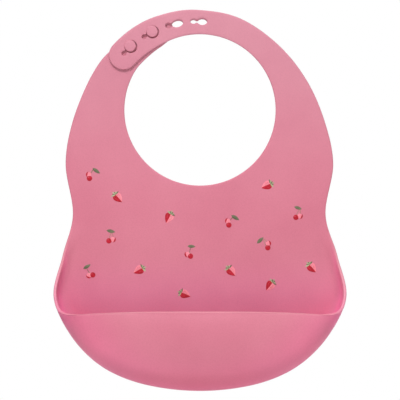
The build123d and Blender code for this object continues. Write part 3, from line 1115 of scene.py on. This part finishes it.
def soft_material(
    name, dark, main, pale, rough=(0.44, 0.56), grain=0.05, wave=0.25, sheen=0.15, scale=1.0
):
    """Three tones in soft clouds, with a fine grain. Only the silicone has waves and painted light
    and shade.
    """
    mat, tree, bsdf = new_material(name)
    coord = tree.nodes.new("ShaderNodeTexCoord")
    cloud = noise(tree, coord, 14.0 * scale, 3.0, 0.55)
    tint = ramp_of(tree, cloud.outputs["Fac"], [(0.25, dark), (0.5, main), (0.78, pale)])
    colour = tint.outputs["Color"]
    if wave:
        # the silicone's painted light and shade
        colour = painted_light_tone(tree, coord, colour)
    speck = noise(tree, coord, 900.0, 2.0, 0.6)
    mix = tree.nodes.new("ShaderNodeMix")
    mix.data_type = "RGBA"
    mix.blend_type = "MULTIPLY"
    shade = ramp_of(tree, speck.outputs["Fac"], [(0.3, (0.94, 0.93, 0.93, 1)), (0.6, (1, 1, 1, 1))])
    mix.inputs["Factor"].default_value = 0.8
    tree.links.new(colour, mix.inputs["A"])
    tree.links.new(shade.outputs["Color"], mix.inputs["B"])
    tree.links.new(mix.outputs["Result"], bsdf.inputs["Base Color"])
    gloss = tree.nodes.new("ShaderNodeMapRange")
    gloss.inputs["To Min"].default_value = rough[0]
    gloss.inputs["To Max"].default_value = rough[1]
    tree.links.new(noise(tree, coord, 60.0, 4.0, 0.6).outputs["Fac"], gloss.inputs["Value"])
    tree.links.new(gloss.outputs["Result"], bsdf.inputs["Roughness"])
    fine = bump(tree, coord, grain, 0.2 * MM, 1400.0, 3.0, 0.6)
    broad = bump(tree, coord, wave, 1.0 * MM, 16.0, 1.0, 0.4)
    tree.links.new(fine.outputs["Normal"], broad.inputs["Normal"])
    tree.links.new(broad.outputs["Normal"], bsdf.inputs["Normal"])
    bsdf.inputs["Sheen Weight"].default_value = sheen
    bsdf.inputs["Sheen Roughness"].default_value = 0.45
    bsdf.inputs["Specular IOR Level"].default_value = 0.38
    return mat


silicone = soft_material(
    "silicone_rose", linear(215, 119, 141), linear(220, 126, 147), linear(224, 132, 152)
)
# the inks' dark, main and pale tones
SHADES = {
    "red": ((170, 6, 34), (190, 12, 42), (204, 22, 54)),
    "pink": ((242, 126, 144), (250, 142, 158), (253, 156, 170)),
    "leaf": ((92, 94, 70), (112, 114, 86), (130, 132, 104)),
    "leaf_pale": ((158, 162, 124), (182, 184, 146), (202, 200, 166)),
    "stalk": ((150, 112, 98), (170, 132, 114), (184, 148, 128)),
    "shine": ((212, 78, 98), (224, 94, 112), (232, 110, 126)),
    "vein": ((128, 130, 100), (142, 142, 112), (156, 154, 124)),
}
inks = {}
for key, tones in SHADES.items():
    dark, main, pale = (linear(*tone) for tone in tones)
    inks[key] = soft_material(
        "ink_" + key,
        dark,
        main,
        pale,
        rough=(0.5, 0.62),
        grain=0.12,
        wave=0.0,
        sheen=0.0,
        scale=20.0,
    )

# ---------------------------------------------------------------- materials, skins in place of the CAD nodes, studs on the button strap


for obj in (upper_skin, lower_skin, button_skin, root_skin, middle_skin, tab_skin, *studs):
    obj.data.materials.append(silicone)

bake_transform(root_skin)
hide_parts("strap_root")
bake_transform(middle_skin)
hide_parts("strap_middle")
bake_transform(tab_skin)
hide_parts("strap_tab")
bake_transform(button_skin)
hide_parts("button_strap")
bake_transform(upper_skin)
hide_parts("upper_panel", "shoulder_right", "shoulder_left")
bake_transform(lower_skin)
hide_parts("lower_panel", "crumb_pocket")
for obj, node in zip(studs, ("stud_lower", "stud_upper")):
    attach(obj, "button_strap")
    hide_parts(node)
for node, film in films.items():
    first_piece = True
    for colour, (verts, faces) in film.parts.items():
        obj = mesh_object(node + "_" + colour, verts, faces, 50.0)
        obj.data.materials.append(inks[colour])
        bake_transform(obj)
        if first_piece:
            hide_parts(node)
            first_piece = False

# ---------------------------------------------------------------- stage, light and camera
FLOOR_R = 0.78
FLOOR_Z = BOTTOM_Z - 72 * MM
bpy.ops.mesh.primitive_circle_add(
    vertices=160, radius=FLOOR_R, fill_type="NGON", location=(0, 0, FLOOR_Z)
)
floor = bpy.context.object
floor.name = "floor"
floor_mat, tree, bsdf = new_material("floor_paper")
coord = tree.nodes.new("ShaderNodeTexCoord")
paper = ramp_of(
    tree,
    noise(tree, coord, 3.0, 4.0).outputs["Fac"],
    [(0.3, (0.88, 0.88, 0.88, 1)), (0.7, (0.92, 0.92, 0.92, 1))],
)
tree.links.new(paper.outputs["Color"], bsdf.inputs["Base Color"])
bsdf.inputs["Roughness"].default_value = 0.9
floor.data.materials.append(floor_mat)


def soft_light(name, at, aim, size, power):
    data = bpy.data.lights.new(name, "AREA")
    data.shape = "RECTANGLE"
    data.size, data.size_y = size
    data.energy = power
    obj = bpy.data.objects.new(name, data)
    obj.location = at
    obj.rotation_euler = (Vector(aim) - Vector(at)).to_track_quat("-Z", "Y").to_euler()
    bpy.context.scene.collection.objects.link(obj)


AIM = (0, 0, -70 * MM)
soft_light("key", (-0.25, -1.0, 1.05), AIM, (0.55, 0.45), 15.0)
soft_light("fill", (0.6, -1.5, 0.2), AIM, (1.0, 1.0), 3.5)
soft_light("low", (-0.1, -1.3, -0.75), (0, 0, -150 * MM), (1.2, 0.6), 3.4)
soft_light("top", (0.05, -0.10, 0.75), (0, 0, 0), (0.7, 0.4), 1.2)
soft_light("back", (0.5, 1.3, 0.1), AIM, (0.8, 0.8), 8.0)
# the camera sees a white world, and the bib is lit by a dimmer one
AMBIENT = 0.30
world = bpy.data.worlds.new("studio")
world.use_nodes = True
sky = world.node_tree.nodes["Background"]
sky.inputs["Color"].default_value = (1, 1, 1, 1)
seen = world.node_tree.nodes.new("ShaderNodeLightPath")
strength = world.node_tree.nodes.new("ShaderNodeMapRange")
strength.inputs["To Min"].default_value = AMBIENT
strength.inputs["To Max"].default_value = 1.0
world.node_tree.links.new(seen.outputs["Is Camera Ray"], strength.inputs["Value"])
world.node_tree.links.new(strength.outputs["Result"], sky.inputs["Strength"])
bpy.context.scene.world = world
bpy.context.scene.view_settings.view_transform = "Standard"

CAMERA_FAR = 2.4
CAMERA_Z = -70.65 * MM
PICTURE_W = 0.314  # width of the picture where the bib is
SENSOR_W = 36.0
cam_data = bpy.data.cameras.new("camera")
cam_data.sensor_width = SENSOR_W
cam_data.lens = SENSOR_W * CAMERA_FAR / PICTURE_W
cam_data.clip_end = 50.0
camera = bpy.data.objects.new("camera", cam_data)
camera.location = (0.0, -CAMERA_FAR, CAMERA_Z)
camera.rotation_euler = (math.pi / 2, 0, 0)
bpy.context.scene.collection.objects.link(camera)
bpy.context.scene.camera = camera
